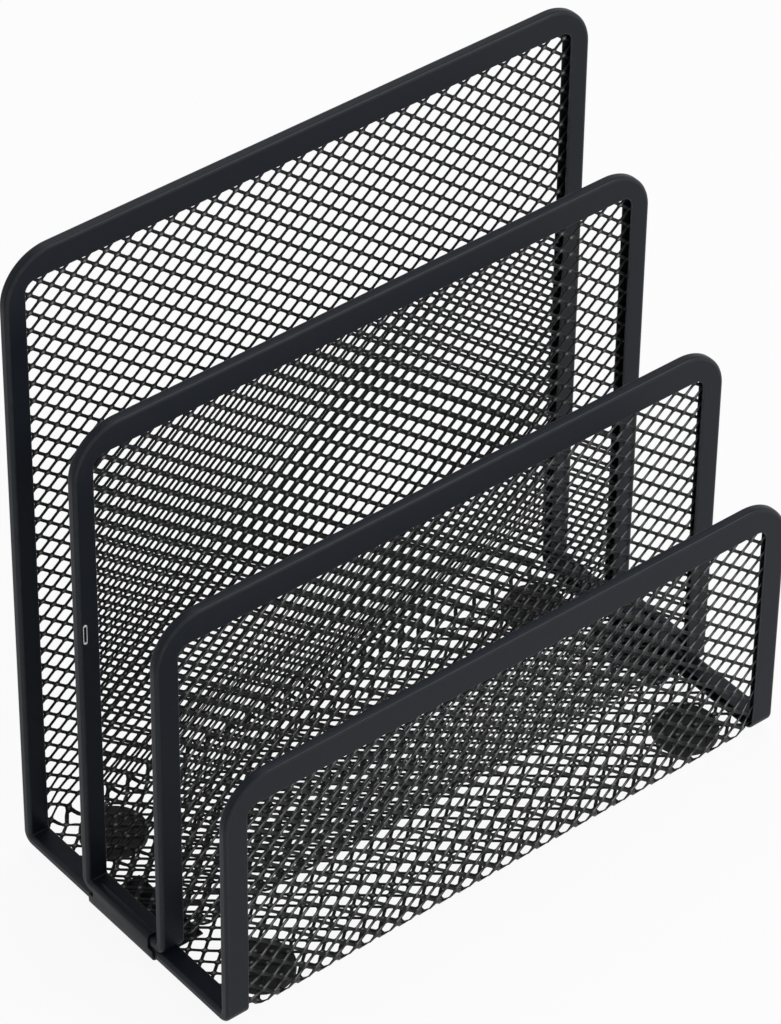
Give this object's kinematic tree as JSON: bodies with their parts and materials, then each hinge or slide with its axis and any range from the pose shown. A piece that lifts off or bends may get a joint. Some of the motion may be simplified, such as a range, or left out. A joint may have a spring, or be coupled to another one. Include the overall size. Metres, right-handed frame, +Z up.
{
  "type": "desk letter holder",
  "caption": "Free-standing steel mesh letter holder with stepped upright panels and open letter slots between them, on round rubber feet.",
  "frame": {"origin": "on the ground under the middle of the holder, at the centre of its box's bottom face", "axes": "+X to the right seen from the front, +Y towards the tall back panel, +Z up"},
  "size_m": [0.1712, 0.0808, 0.1768],
  "materials": {
    "rim": "satin black powder coat",
    "mesh": "satin black powder coat over expanded steel",
    "clamp": "satin black powder coat",
    "foot": "matt black rubber"
  },
  "bodies": {
    "root": {"outer_rim": "rim", "divider_rim": "rim", "back_mesh": "mesh", "floor_mesh": "mesh", "front_mesh": "mesh", "rear_divider_mesh": "mesh", "divider_floor_mesh": "mesh", "front_divider_mesh": "mesh", "left_clamp": "clamp", "right_clamp": "clamp", "foot_front_left": "foot", "foot_front_right": "foot", "foot_rear_left": "foot", "foot_rear_right": "foot"}
  },
  "joints": []
}
